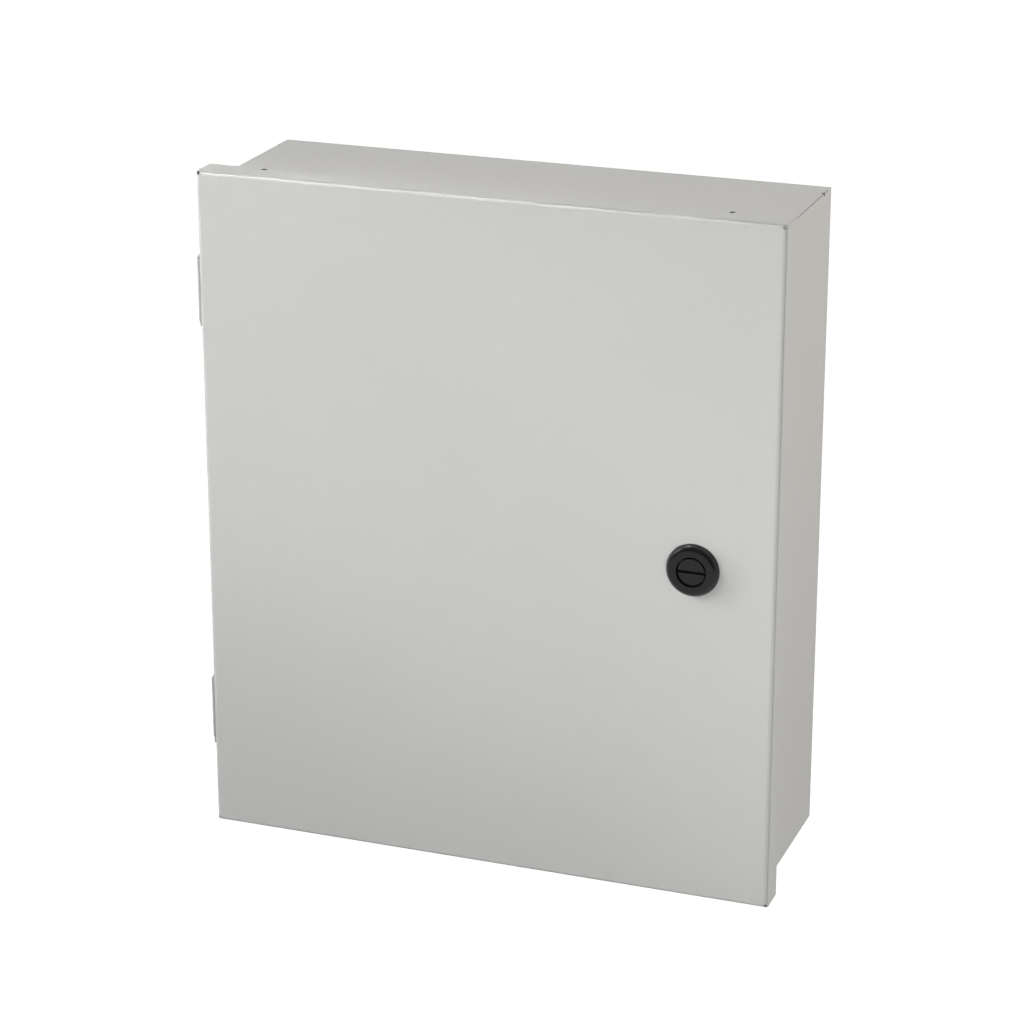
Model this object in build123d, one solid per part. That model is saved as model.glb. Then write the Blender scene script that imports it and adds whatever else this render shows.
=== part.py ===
from build123d import *
import os
from math import sqrt

# A shallow steel enclosure for a wall, with a door pan on two pin hinges and a quarter-turn latch.
# The origin is the centre of the wall holes on the outer face of the back.
# +X is to the right, +Y points into the wall and +Z is up.

# Body, folded from one sheet
body_width = 304.8
body_height = 355.6
body_depth = 101.6
body_sheet = 1.5
body_bend = 1.2
body_lip = 13.0
wall_hole_inset = 25.4
wall_hole_radius = 4.0

# Open corner seams of both folded sheets
corner_gap = 0.4
corner_relief = 1.1
seam_notch_radius = 1.4
seam_notch_rise = 16.0

# Door pan, folded from one sheet, and its foam gasket
door_side_overlap = 5.4
door_end_overlap = 6.3
door_sheet = 1.5
door_bend = 1.2
door_flange = 17.5
hanging_hole_radius = 1.5
hanging_hole_inset = 32.2
hanging_hole_edge = 2.4
gasket_thickness = 3.0
gasket_width = 9.0
gasket_edge = 2.0
closing_gap = 0.3

# Two pin hinges
hinge_height = 35.0
upper_hinge_drop = 60.3
lower_hinge_rise = 56.4
hinge_setback = 12.0
hinge_sheet = 1.4
hinge_bend = 1.2
hinge_pin_radius = 1.4
hinge_pin_fit = 0.06
hinge_gap = 0.3
hinge_knuckle = 12.0
hinge_weld_length = 20.0
hinge_flange_clearance = 1.0
hinge_corner = 3.0
hinge_curl_sweep = 270.0
pin_head_radius = 2.5
pin_head_height = 1.8
pin_head_round = 1.4
pin_tail = 1.6
pin_tip_chamfer = 0.5

# Quarter-turn latch
latch_inset = 44.0
latch_head_radius = 14.15
latch_head_height = 4.0
latch_head_edge = 0.7
latch_crown_radius = 11.6
latch_shoulder_swell = 0.35
latch_well_chamfer = 0.5
latch_barrel_radius = 11.0
latch_barrel_flat = 9.6
latch_barrel_length = 6.7
latch_fit = 0.15
rotor_radius = 7.25
rotor_ring_gap = 0.65
rotor_recess = 0.4
rotor_head_height = 2.5
rotor_edge = 0.4
rotor_shank_radius = 5.0
rotor_fit = 0.07
rotor_gap = 0.3
rotor_square = 7.0
quarter_turn = 90.0
stop_pin_radius = 0.5
stop_pin_length = 1.2
stop_pin_track = 6.2
stop_pin_rest = 135.0
stop_clearance = 0.25
slot_width = 1.6
slot_depth = 1.7
latch_nut_flats = 27.0
latch_nut_height = 4.5
latch_nut_chamfer = 1.0

# Cam behind the latch, held by a screw and washer
cam_sheet = 2.5
cam_bend = 1.5
cam_reach = 34.0
cam_root_radius = 10.0
cam_tip_radius = 6.5
cam_joggle_start = 14.0
cam_joggle_run = 4.0
cam_lip_gap = 0.3
cam_square_fit = 0.1
cam_screw_radius = 2.5
cam_screw_depth = 9.0
cam_screw_head_radius = 4.6
cam_screw_head_height = 3.0
cam_screw_crown_radius = 3.2
cam_screw_crown_height = 1.2
cam_screw_slot = 1.1
cam_washer_radius = 6.5
cam_washer_thickness = 1.0
screw_fit = 0.05

# Mounting panel on four welded studs
panel_sheet = 1.9
panel_hole_clearance = 5.5
panel_corner = 6.0
panel_stand_off = 9.5
panel_stud_inset = 9.5
panel_hole_fit = 0.4
stud_thread_radius = 3.175
stud_collar_radius = 5.5
stud_foot_radius = 7.0
stud_foot_height = 1.2
stud_length = 22.0
stud_tip_chamfer = 0.8
stud_nut_flats = 11.0
stud_nut_height = 6.0
stud_nut_flange_radius = 7.2
stud_nut_flange_height = 1.4

# Earth studs on the body and the door
earth_stud_radius = 2.5
earth_foot_radius = 5.0
earth_foot_height = 1.0
earth_nut_flats = 8.0
earth_nut_height = 4.0
earth_nut_flange_radius = 5.5
earth_nut_flange_height = 1.1
body_earth_length = 20.0
body_earth_inset = 18.4
body_earth_rise = 78.0
door_earth_length = 13.0
door_earth_inset = 34.0
door_earth_rise = 30.0

# Places that follow from the sizes
INTO_WALL = Vector(0, 1, 0)
OUT_OF_WALL = Vector(0, -1, 0)
half_width = body_width / 2
half_height = body_height / 2
lip_front = -body_depth
lip_back = lip_front + body_sheet
door_inside = lip_front - closing_gap - gasket_thickness
door_face = door_inside - door_sheet
door_half_width = half_width + door_side_overlap
door_half_height = half_height + door_end_overlap
flange_back = door_face + door_flange

knuckle_bore = hinge_pin_radius + hinge_pin_fit
knuckle_radius = knuckle_bore + hinge_sheet
hinge_x = -door_half_width - hinge_gap - knuckle_radius
hinge_y = door_face + hinge_setback

latch_x = door_half_width - latch_inset
barrel_end = door_inside + latch_barrel_length
cam_root_front = barrel_end + rotor_gap
cam_root_back = cam_root_front + cam_sheet
cam_tip_front = lip_back + cam_lip_gap

wall_hole_x = half_width - wall_hole_inset
wall_hole_z = half_height - wall_hole_inset
panel_half_width = wall_hole_x - wall_hole_radius - panel_hole_clearance
panel_half_height = wall_hole_z - wall_hole_radius - panel_hole_clearance
panel_stud_x = panel_half_width - panel_stud_inset
panel_stud_z = panel_half_height - panel_stud_inset
back_inside = -body_sheet
panel_back = back_inside - panel_stand_off
panel_front = panel_back - panel_sheet


def along_y(x, z, y, direction=OUT_OF_WALL):
    """A plane at x, y, z whose normal runs along Y in the given direction."""
    return Plane(origin=(x, y, z), x_dir=(1, 0, 0), z_dir=direction)


def turned(outline, plane):
    """A turned piece: a closed outline of radius and height, spun about the plane's normal."""
    return plane.location * revolve(Plane.XZ * make_face(outline), Axis.Z)


def bent_section(outer_path, inside_radius, thickness):
    """Section of a bent sheet. Its outer face follows the path, and the sheet lies to the left of it."""
    outer = FilletPolyline(*outer_path, radius=inside_radius + thickness)
    return make_face(offset(outer, amount=thickness, side=Side.LEFT))


def hexagon_nut(flats, height, bore, chamfer_size):
    """A hexagon nut standing on the XY plane, its corners eased at both ends."""
    corner = flats / sqrt(3)
    hexagon = extrude(RegularPolygon(radius=flats / 2, side_count=6, major_radius=False), height)
    blank = Pos(0, 0, height / 2) * Cylinder(corner, height)
    blank = chamfer(blank.edges().filter_by(GeomType.CIRCLE), chamfer_size)
    return (hexagon & blank) - Pos(0, 0, height / 2) * Cylinder(bore, height)


def flange_nut(flats, height, bore, flange_radius, flange_height):
    """A hexagon nut with a coned flange on its seat."""
    cone = Pos(0, 0, flange_height) * Cone(
        flange_radius, flats / 2, (height - flange_height) / 2,
        align=(Align.CENTER, Align.CENTER, Align.MIN),
    )
    seat = extrude(Circle(flange_radius), flange_height)
    corner_excess = flats / sqrt(3) - flats / 2
    nut = hexagon_nut(flats, height, bore, corner_excess / 2)
    return (nut + cone + seat) - extrude(Circle(bore), height)


def folded_wall(run, outer_path, inside_radius, thickness, reach):
    """One wall of a tray with its bends, its ends mitred for an open seam at each corner."""
    wall = extrude(bent_section(outer_path, inside_radius, thickness), run / 2, both=True)
    end = run / 2 - corner_gap / sqrt(2)
    depth = max(point[1] for point in outer_path)
    mitre = Plane.XZ * make_face(
        Polyline((0, end), (-reach, end - reach), (-reach, reach - end), (0, -end), close=True)
    )
    return wall & extrude(mitre, -depth)


def folded_tray(half_x, half_z, face_y, depth_direction, rim_path, inside_radius, thickness):
    """A tray folded from one sheet. rim_path is the outer face of a wall after the first bend."""
    outer_radius = inside_radius + thickness
    start = (-outer_radius - thickness, 0)
    path = [start, (0, 0), *rim_path]
    reach = max(-point[0] for point in path)
    plate = Box(2 * (half_x - outer_radius), thickness, 2 * (half_z - outer_radius))
    tray = Pos(0, face_y + depth_direction.Y * thickness / 2, 0) * plate
    sides = (
        (Vector(1, 0, 0), half_x, half_z),
        (Vector(-1, 0, 0), half_x, half_z),
        (Vector(0, 0, 1), half_z, half_x),
        (Vector(0, 0, -1), half_z, half_x),
    )
    for outward, distance, half_run in sides:
        wall = folded_wall(2 * half_run, path, inside_radius, thickness, reach)
        origin = outward * distance + Vector(0, face_y, 0)
        seat = Plane(origin=origin, x_dir=outward, z_dir=outward.cross(depth_direction))
        tray += seat.location * wall
    relief_depth = 2 * outer_radius
    for x in (-1, 1):
        for z in (-1, 1):
            middle = (x * (half_x - outer_radius / 2), z * (half_z - outer_radius / 2))
            hole = Cylinder(corner_relief, relief_depth)
            tray -= along_y(middle[0], middle[1], face_y).location * hole
    return tray


def enclosure_body():
    """Back, four walls and the lip around the mouth, folded from one sheet."""
    rim = [(0, body_depth), (-body_lip, body_depth)]
    body = folded_tray(half_width, half_height, 0, OUT_OF_WALL, rim, body_bend, body_sheet)
    for x in (-half_width, half_width):
        for z in (-half_height, half_height):
            punch = Cylinder(seam_notch_radius, 2 * body_sheet)
            seam = Pos(x, -seam_notch_rise, z)
            body -= seam * punch
            body -= seam * Rot(0, 90, 0) * punch
    holes = Sketch() + GridLocations(2 * wall_hole_x, 2 * wall_hole_z, 2, 2) * Circle(wall_hole_radius)
    return body - extrude(along_y(0, 0, 0).location * holes, body_sheet)


def door_panel():
    """The door: a pan whose flanges wrap round the body's mouth."""
    door = folded_tray(
        door_half_width, door_half_height, door_face, INTO_WALL, [(0, door_flange)], door_bend, door_sheet
    )
    cut_out = latch_barrel_section(latch_fit)
    door -= extrude(along_y(latch_x, 0, door_inside).location * cut_out, door_sheet)
    hanging_y = flange_back - hanging_hole_edge
    hanging_x = door_half_width - hanging_hole_inset
    for side in (-1, 1):
        drill = Cylinder(hanging_hole_radius, 2 * door_sheet)
        door -= Pos(side * hanging_x, hanging_y, door_half_height - door_sheet / 2) * drill
    return door


def door_gasket():
    """A foam strip poured round the door, where the body's lip meets it."""
    outer_x = half_width - gasket_edge
    outer_z = half_height - gasket_edge
    outer = RectangleRounded(2 * outer_x, 2 * outer_z, gasket_width)
    hole = Rectangle(2 * (outer_x - gasket_width), 2 * (outer_z - gasket_width))
    seat = along_y(0, 0, door_inside, INTO_WALL)
    return extrude(seat.location * (outer - hole), gasket_thickness)


def hinge_curl(start_angle):
    """Centre line of a sheet rolled round the pin."""
    return CenterArc((0, 0), knuckle_bore + hinge_sheet / 2, start_angle, hinge_curl_sweep)


def hinge_body_leaf(z):
    """Leaf welded to the body's side, led out behind the door's flange to two knuckles."""
    middle = knuckle_bore + hinge_sheet / 2
    wall_x = -half_width - hinge_sheet / 2 - hinge_x
    behind_y = flange_back + hinge_flange_clearance + hinge_sheet / 2 - hinge_y
    end_y = behind_y + hinge_sheet / 2 + hinge_bend + hinge_weld_length
    line = FilletPolyline(
        (wall_x, end_y), (wall_x, behind_y), (-middle, behind_y), (-middle, 0),
        radius=hinge_bend + hinge_sheet / 2,
    )
    section = trace(line + hinge_curl(180), line_width=hinge_sheet)
    leaf = extrude(section, hinge_height / 2, both=True)
    corners = leaf.edges().filter_by(Axis.X).group_by(Axis.Y)[-1]
    leaf = fillet(corners, hinge_corner)
    notch_y = flange_back - hinge_y
    notch = Box(
        4 * knuckle_radius, notch_y + 2 * knuckle_radius, hinge_knuckle + 2 * hinge_gap,
        align=(Align.CENTER, Align.MAX, Align.CENTER),
    )
    leaf -= Pos(0, notch_y, 0) * notch
    return Pos(hinge_x, hinge_y, z) * leaf


def hinge_door_leaf(z):
    """Leaf welded to the door's flange, with the middle knuckle."""
    middle = knuckle_bore + hinge_sheet / 2
    flat_x = -door_half_width - hinge_sheet / 2 - hinge_x
    front_y = door_face + door_bend + door_sheet - hinge_y
    shoulder_y = -knuckle_radius - hinge_gap - hinge_sheet / 2
    line = Polyline(
        (flat_x, front_y), (flat_x, shoulder_y), (middle, shoulder_y + hinge_sheet), (middle, 0)
    )
    section = trace(line + hinge_curl(0), line_width=hinge_sheet)
    knuckle = extrude(section, hinge_knuckle / 2, both=True)
    flat_length = shoulder_y - front_y
    flat = Pos(flat_x, front_y + flat_length / 2, 0) * Box(hinge_sheet, flat_length, hinge_height)
    return Pos(hinge_x, hinge_y, z) * (flat + knuckle)


def hinge_pin(z):
    """A headed pin, dropped in from above."""
    top = hinge_height / 2
    shank = Pos(0, 0, -pin_tail / 2) * Cylinder(hinge_pin_radius, hinge_height + pin_tail)
    shank = chamfer(shank.edges().group_by(Axis.Z)[0], pin_tip_chamfer)
    head = extrude(Circle(pin_head_radius), pin_head_height)
    head = fillet(head.edges().group_by(Axis.Z)[-1], pin_head_round)
    return Pos(hinge_x, hinge_y, z) * (shank + Pos(0, 0, top) * head)


def latch_barrel_section(clearance):
    """Round barrel with two flats, which keep the latch from turning in the door."""
    flats = 2 * (latch_barrel_flat + clearance)
    return Circle(latch_barrel_radius + clearance) & Rectangle(2 * latch_head_radius, flats)


def latch_housing():
    """Moulded bezel and barrel. The rotor sits in its well, a little below the bezel's flat crown."""
    well = rotor_radius + rotor_ring_gap
    floor = latch_head_height - rotor_recess - rotor_head_height - rotor_gap
    bore = rotor_shank_radius + rotor_fit
    rim = (latch_head_radius, latch_head_edge)
    crown = (latch_crown_radius, latch_head_height)
    shoulder = (
        (latch_head_radius + latch_crown_radius) / 2 + latch_shoulder_swell,
        (latch_head_edge + latch_head_height) / 2 + latch_shoulder_swell,
    )
    inside = Polyline(
        crown,
        (well + latch_well_chamfer, latch_head_height),
        (well, latch_head_height - latch_well_chamfer),
        (well, floor),
        (bore, floor),
        (bore, 0),
        (latch_head_radius, 0),
        rim,
    )
    head = turned(inside + ThreePointArc(rim, shoulder, crown), along_y(latch_x, 0, door_face))
    barrel = along_y(latch_x, 0, barrel_end).location * (
        latch_barrel_section(0) - Circle(bore)
    )
    housing = head + extrude(barrel, barrel_end - door_face)
    track = SlotArc(
        CenterArc((0, 0), stop_pin_track, stop_pin_rest - quarter_turn, quarter_turn),
        2 * (stop_pin_radius + stop_clearance),
    )
    track_depth = stop_pin_length + stop_clearance - rotor_gap
    return housing - extrude(along_y(latch_x, 0, door_face - floor).location * track, -track_depth)


def latch_rotor():
    """Slotted disc with a stop pin beneath it, a shank through the barrel and a square for the cam."""
    top = latch_head_height - rotor_recess
    underside = top - rotor_head_height
    shank_end = door_face - barrel_end
    outline = Polyline(
        (0, top),
        (rotor_radius - rotor_edge, top),
        (rotor_radius, top - rotor_edge),
        (rotor_radius, underside),
        (rotor_shank_radius, underside),
        (rotor_shank_radius, shank_end),
        (0, shank_end),
        close=True,
    )
    rotor = turned(outline, along_y(latch_x, 0, door_face))
    square = along_y(latch_x, 0, cam_root_back - cam_square_fit).location * Rectangle(
        rotor_square, rotor_square
    )
    rotor += extrude(square, cam_root_back - cam_square_fit - barrel_end)
    stop_pin = Rot(0, 0, stop_pin_rest) * Pos(stop_pin_track, 0) * Circle(stop_pin_radius)
    rotor += extrude(along_y(latch_x, 0, door_face - underside).location * stop_pin, -stop_pin_length)
    slot = Box(2 * rotor_radius + rotor_ring_gap, 2 * slot_depth, slot_width)
    rotor -= Pos(latch_x, door_face - top, 0) * slot
    hole = along_y(latch_x, 0, cam_root_back).location * Circle(cam_screw_radius + screw_fit)
    return rotor - extrude(hole, cam_screw_depth + rotor_gap)


def latch_nut():
    """Hexagon nut that clamps the latch to the inside of the door."""
    nut = hexagon_nut(latch_nut_flats, latch_nut_height, latch_barrel_radius + screw_fit, latch_nut_chamfer)
    return along_y(latch_x, 0, door_inside, INTO_WALL).location * nut


def latch_cam():
    """A joggled steel strip, upright while the door is unlatched."""
    run_end = cam_joggle_start + cam_joggle_run
    step = cam_tip_front - cam_root_front
    back = [
        (-cam_root_radius, 0), (cam_joggle_start, 0), (run_end, step), (cam_reach, step),
    ]
    front_line = FilletPolyline(*back, radius=cam_bend)
    strip = make_face(offset(front_line, amount=cam_sheet, side=Side.LEFT))
    strip = extrude(strip, cam_root_radius, both=True)
    side_view = Plane(origin=(latch_x, cam_root_front, 0), x_dir=(0, 0, 1), z_dir=(-1, 0, 0))
    strip = side_view.location * strip
    tip_z = cam_reach - cam_tip_radius
    outline = make_hull(
        (Circle(cam_root_radius) + Pos(0, tip_z) * Circle(cam_tip_radius)).edges()
    )
    outline -= Rectangle(rotor_square + 2 * cam_square_fit, rotor_square + 2 * cam_square_fit)
    behind = cam_root_back + cam_sheet
    prism = extrude(along_y(latch_x, 0, behind).location * outline, behind - cam_tip_front + cam_sheet)
    return strip & prism


def cam_washer():
    """Flat washer behind the cam."""
    ring = Circle(cam_washer_radius) - Circle(cam_screw_radius + cam_square_fit)
    return extrude(along_y(latch_x, 0, cam_root_back, INTO_WALL).location * ring, cam_washer_thickness)


def cam_screw():
    """Slotted pan-head screw that holds the cam on the rotor's square."""
    seat = cam_root_back + cam_washer_thickness
    outline = Polyline(
        (0, cam_screw_head_height),
        (cam_screw_crown_radius, cam_screw_head_height),
        (cam_screw_head_radius, cam_screw_head_height - cam_screw_crown_height),
        (cam_screw_head_radius, 0),
        (cam_screw_radius, 0),
        (cam_screw_radius, -cam_screw_depth),
        (0, -cam_screw_depth),
        close=True,
    )
    screw = turned(outline, along_y(latch_x, 0, seat, INTO_WALL))
    slot = Box(2 * cam_screw_head_radius, cam_screw_head_height, cam_screw_slot)
    return screw - Pos(latch_x, seat + cam_screw_head_height, 0) * slot


def mounting_panel():
    """Flat removable panel that carries the customer's equipment."""
    blank = RectangleRounded(2 * panel_half_width, 2 * panel_half_height, panel_corner)
    hole = Circle(stud_thread_radius + panel_hole_fit)
    blank -= GridLocations(2 * panel_stud_x, 2 * panel_stud_z, 2, 2) * hole
    return extrude(along_y(0, 0, panel_back).location * blank, panel_sheet)


def panel_stud(x, z):
    """Weld stud with a collar that the mounting panel sits on."""
    tip = stud_thread_radius - stud_tip_chamfer
    outline = Polyline(
        (0, 0),
        (stud_foot_radius, 0),
        (stud_foot_radius, stud_foot_height),
        (stud_collar_radius, stud_foot_height + stud_foot_radius - stud_collar_radius),
        (stud_collar_radius, panel_stand_off),
        (stud_thread_radius, panel_stand_off),
        (stud_thread_radius, stud_length - stud_tip_chamfer),
        (tip, stud_length),
        (0, stud_length),
        close=True,
    )
    return turned(outline, along_y(x, z, back_inside))


def panel_nut(x, z):
    """Flange nut that clamps the mounting panel."""
    nut = flange_nut(
        stud_nut_flats, stud_nut_height, stud_thread_radius + screw_fit,
        stud_nut_flange_radius, stud_nut_flange_height,
    )
    return along_y(x, z, panel_front).location * nut


def earth_stud(x, z, seat_y, direction, length):
    """Small weld stud for an earth lead."""
    tip = earth_stud_radius - stud_tip_chamfer
    outline = Polyline(
        (0, 0),
        (earth_foot_radius, 0),
        (earth_foot_radius, earth_foot_height),
        (earth_stud_radius, earth_foot_height),
        (earth_stud_radius, length - stud_tip_chamfer),
        (tip, length),
        (0, length),
        close=True,
    )
    return turned(outline, along_y(x, z, seat_y, direction))


def earth_nut(x, z, seat_y, direction):
    """Flange nut on an earth stud, run down to the stud's foot."""
    nut = flange_nut(
        earth_nut_flats, earth_nut_height, earth_stud_radius + screw_fit,
        earth_nut_flange_radius, earth_nut_flange_height,
    )
    seat = seat_y + direction.Y * earth_foot_height
    return along_y(x, z, seat, direction).location * nut


pieces = {
    "enclosure_body": enclosure_body(),
    "door_panel": door_panel(),
    "door_gasket": door_gasket(),
    "latch_housing": latch_housing(),
    "latch_rotor": latch_rotor(),
    "latch_nut": latch_nut(),
    "latch_cam": latch_cam(),
    "cam_washer": cam_washer(),
    "cam_screw": cam_screw(),
    "mounting_panel": mounting_panel(),
}

hinge_heights = {
    "upper": half_height - upper_hinge_drop,
    "lower": lower_hinge_rise - half_height,
}
for place, z in hinge_heights.items():
    pieces[place + "_hinge_body_leaf"] = hinge_body_leaf(z)
    pieces[place + "_hinge_door_leaf"] = hinge_door_leaf(z)
    pieces[place + "_hinge_pin"] = hinge_pin(z)

corners = {
    "top_left": (-1, 1),
    "top_right": (1, 1),
    "bottom_left": (-1, -1),
    "bottom_right": (1, -1),
}
for place, (x_side, z_side) in corners.items():
    x = x_side * panel_stud_x
    z = z_side * panel_stud_z
    pieces["panel_stud_" + place] = panel_stud(x, z)
    pieces["panel_nut_" + place] = panel_nut(x, z)

body_earth = (half_width - body_earth_inset, body_earth_rise - half_height)
door_earth = (half_width - door_earth_inset, door_earth_rise - half_height)
pieces["body_earth_stud"] = earth_stud(*body_earth, back_inside, OUT_OF_WALL, body_earth_length)
pieces["body_earth_nut"] = earth_nut(*body_earth, back_inside, OUT_OF_WALL)
pieces["door_earth_stud"] = earth_stud(*door_earth, door_inside, INTO_WALL, door_earth_length)
pieces["door_earth_nut"] = earth_nut(*door_earth, door_inside, INTO_WALL)

os.makedirs("parts", exist_ok=True)
for name, piece in pieces.items():
    export_step(piece, "parts/" + name + ".step")
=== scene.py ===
from math import atan2, cos, pi, radians, sin, sqrt

import bmesh
import bpy
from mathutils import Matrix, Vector


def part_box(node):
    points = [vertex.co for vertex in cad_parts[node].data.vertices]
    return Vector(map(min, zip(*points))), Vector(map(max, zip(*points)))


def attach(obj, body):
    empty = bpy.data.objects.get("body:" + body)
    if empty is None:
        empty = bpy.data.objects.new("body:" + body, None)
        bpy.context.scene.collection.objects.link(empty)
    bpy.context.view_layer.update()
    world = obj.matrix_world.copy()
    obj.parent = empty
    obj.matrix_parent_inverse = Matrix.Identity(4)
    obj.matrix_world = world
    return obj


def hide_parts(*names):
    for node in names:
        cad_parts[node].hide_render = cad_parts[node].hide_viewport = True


# The looks of a wall-mounted steel enclosure: powder-coated box and door,
# black coin latch, white mounting panel and plated fixings

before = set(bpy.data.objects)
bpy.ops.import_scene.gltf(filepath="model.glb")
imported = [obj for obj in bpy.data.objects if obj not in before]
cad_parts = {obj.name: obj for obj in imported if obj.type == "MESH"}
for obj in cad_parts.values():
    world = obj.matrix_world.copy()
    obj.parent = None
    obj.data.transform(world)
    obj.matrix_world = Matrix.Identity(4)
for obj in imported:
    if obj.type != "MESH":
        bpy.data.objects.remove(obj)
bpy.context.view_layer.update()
bpy.ops.object.select_all(action="DESELECT")

# Sizes are in millimetres, and the meshes in metres
MM = 0.001

# Directions
OUT = (0, -1, 0)
INWARD = (0, 1, 0)
UP = (0, 0, 1)

# Sides of round cutters and turned pieces
SMALL_SIDES = 32
MEDIUM_SIDES = 48
LARGE_SIDES = 72
FINE_SIDES = 96

# Folded sheets of the body and the door
SHEET = 1.5
FOLD_RADIUS = 2.7
FOLD_STEPS = 10
BODY_LIP = 13.0
SEAM_GAP = 0.14
SEAM_INSIDE = 0.75
SEAM_PAST_LIP = 3
SAW_OVERSHOOT = 2.0
SAW_MARGIN = 1.0
RELIEF_RADIUS = 0.85
NOTCH_RADIUS = 1.0
NOTCH_RISE = 16.0
PAINT_EDGE = 0.28
WALL_HOLE = (127.0, 152.4, 4.0)  # X, Z and radius
HANGING_HOLE = (125.6, -91.3, 1.5)  # X, Y and radius

# Foam gasket
GASKET_WIDTH = 9.0
GASKET_INNER_CORNER = 1.5
GASKET_ROUND = 1.2

# Hinges
HINGE_LEAF = 1.4
HINGE_CURL = 2.15
HINGE_BEND = 1.9
HINGE_KNUCKLE = 12.0
HINGE_GAP = 0.3
HINGE_HEIGHT = 35.0
HINGE_CORNER = 3.0
HINGE_FLANGE_GAP = 1.0
HINGE_EDGE = 0.22
CURL_STEPS = 24
PIN_RADIUS = 1.4
PIN_HEAD = (2.5, 1.8)  # radius and height
PIN_HEAD_RIM = 0.4
PIN_HEAD_ROUND = 1.4
PIN_TAIL = 1.6
PIN_TIP = 0.5

# Latch
HEAD_RADIUS = 14.15
HEAD_HEIGHT = 4.0
HEAD_EDGE = 0.7
CROWN_RADIUS = 11.6
SHOULDER_SWELL = 0.35
WELL_RADIUS = 7.9
WELL_FLOOR = 0.8
ROTOR_RADIUS = 7.25
ROTOR_TOP = 3.6
ROTOR_UNDER = 1.1
SHANK_RADIUS = 5.0
BORE_RADIUS = 5.07
BARREL_RADIUS = 11.0
BARREL_FLAT = 9.6
BARREL_END = -8.2  # heights are measured out of the door's face
BARREL_PITCH = 1.0
THREAD_DEPTH = 0.45
SLOT_WIDTH = 1.6
SLOT_DEPTH = 1.7
CAM_SQUARE = 3.5  # half its width
CAM_SCREW_BORE = (2.55, 13.0)  # radius and length, half of it in the air
LATCH_FIT = 0.15
LATCH_NUT = (27.0, 4.5)  # across flats and height
FLAT_CUTTER = 20

# Mounting panel, with the radius of its corners and holes
PANEL_CORNERS = ("top_left", "top_right", "bottom_left", "bottom_right")
PANEL_ROUND = 6.0
PANEL_HOLE = 3.575

# Studs: outline from the weld, core and crest radius, pitch, and where the thread starts
PANEL_STUD = ([(7.0, 0), (7.0, 1.2), (5.5, 2.7), (5.5, 9.3), (5.3, 9.5)], 2.55, 3.175, 1.27, 9.5)
EARTH_STUD = ([(4.8, 0), (5.0, 0.2), (5.0, 0.8), (4.8, 1.0)], 2.05, 2.5, 0.8, 1.0)
STUD_TIP = 0.8
ROWS_PER_PITCH = 8

# Flange nuts: across flats, height, flange height and bore radius
PANEL_NUT = (11.0, 6.0, 1.4, 3.225)
EARTH_NUT = (8.0, 4.0, 1.1, 2.55)
HEXAGON_LIFT = 0.4

# Camera, fitted to the edges of the photograph
CAMERA_PLACE = Vector((551.5, -1568.1, 586.5)) * MM
CAMERA_AZIMUTH = radians(20.12)
CAMERA_ELEVATION = radians(20.03)
CAMERA_LENS = 113.13

# Surroundings: what the floor and the room show to the camera, to reflections and to spread light
FLOOR_DROP = 1.1
FLOOR_SIZE = 14.0
FLOOR_GLOW = 1.0
FLOOR_MIRRORED = 0.55
FILL_LIGHT = 0.15
ROOM_MIRRORED = (-0.5, 0.2, 0.12, 1.0)  # two depths of the room, then the brightness at each


def corners_of(node):
    """Lowest and highest corner of a CAD node, in millimetres."""
    low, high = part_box(node)
    return low / MM, high / MM


def near(one, other):
    """Two places in millimetres are the same."""
    return abs(one - other) < 0.02


def only(piece):
    """This piece alone is selected and active."""
    bpy.ops.object.select_all(action="DESELECT")
    piece.select_set(True)
    bpy.context.view_layer.objects.active = piece


def open_mesh(piece):
    """Edit mode on this piece."""
    only(piece)
    bpy.ops.object.mode_set(mode="EDIT")


def close_mesh():
    """Back to object mode."""
    bpy.ops.object.mode_set(mode="OBJECT")


def pick(piece, kind, test):
    """Selects the faces, edges or corners whose middle, in millimetres, passes the test."""
    bpy.ops.mesh.select_mode(type=kind)
    bpy.ops.mesh.select_all(action="DESELECT")
    mesh = bmesh.from_edit_mesh(piece.data)
    if kind == "FACE":
        found = [(face, face.calc_center_median()) for face in mesh.faces]
    elif kind == "EDGE":
        found = [(edge, (edge.verts[0].co + edge.verts[1].co) / 2) for edge in mesh.edges]
    else:
        found = [(corner, corner.co) for corner in mesh.verts]
    for element, middle in found:
        if test(element, middle / MM):
            element.select = True
    mesh.select_flush_mode()
    bmesh.update_edit_mesh(piece.data)


def settle_new(name):
    """Names the new primitive and puts its place into its mesh."""
    piece = bpy.context.active_object
    piece.name = name
    piece.data.name = name
    bpy.ops.object.transform_apply(location=True, rotation=True, scale=True)
    return piece


def block(name, low, high, turn=0.0):
    """A block between two corners, turned about the Y line through its middle."""
    low, high = Vector(low), Vector(high)
    bpy.ops.mesh.primitive_cube_add(
        size=1, location=(low + high) / 2 * MM, rotation=(0, turn, 0), scale=(high - low) * MM
    )
    return settle_new(name)


def rod(name, middle, direction, radius, length, sides=48):
    """A round bar, centred on a point, along a direction."""
    bpy.ops.mesh.primitive_cylinder_add(
        vertices=sides, radius=radius * MM, depth=length * MM, location=Vector(middle) * MM,
        rotation=Vector(direction).to_track_quat("Z", "Y").to_euler(),
    )
    return settle_new(name)


def modify(piece, kind, **settings):
    """Adds a modifier and applies it."""
    modifier = piece.modifiers.new(kind.lower(), kind)
    for setting, value in settings.items():
        setattr(modifier, setting, value)
    only(piece)
    bpy.ops.object.modifier_apply(modifier=modifier.name)


def cut(piece, tool, operation="DIFFERENCE"):
    """Cuts the piece with a tool, or joins or trims it, and puts the tool away."""
    modify(
        piece, "BOOLEAN", operation=operation, solver="EXACT", object=tool, material_mode="TRANSFER"
    )
    bpy.data.objects.remove(tool)


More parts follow.
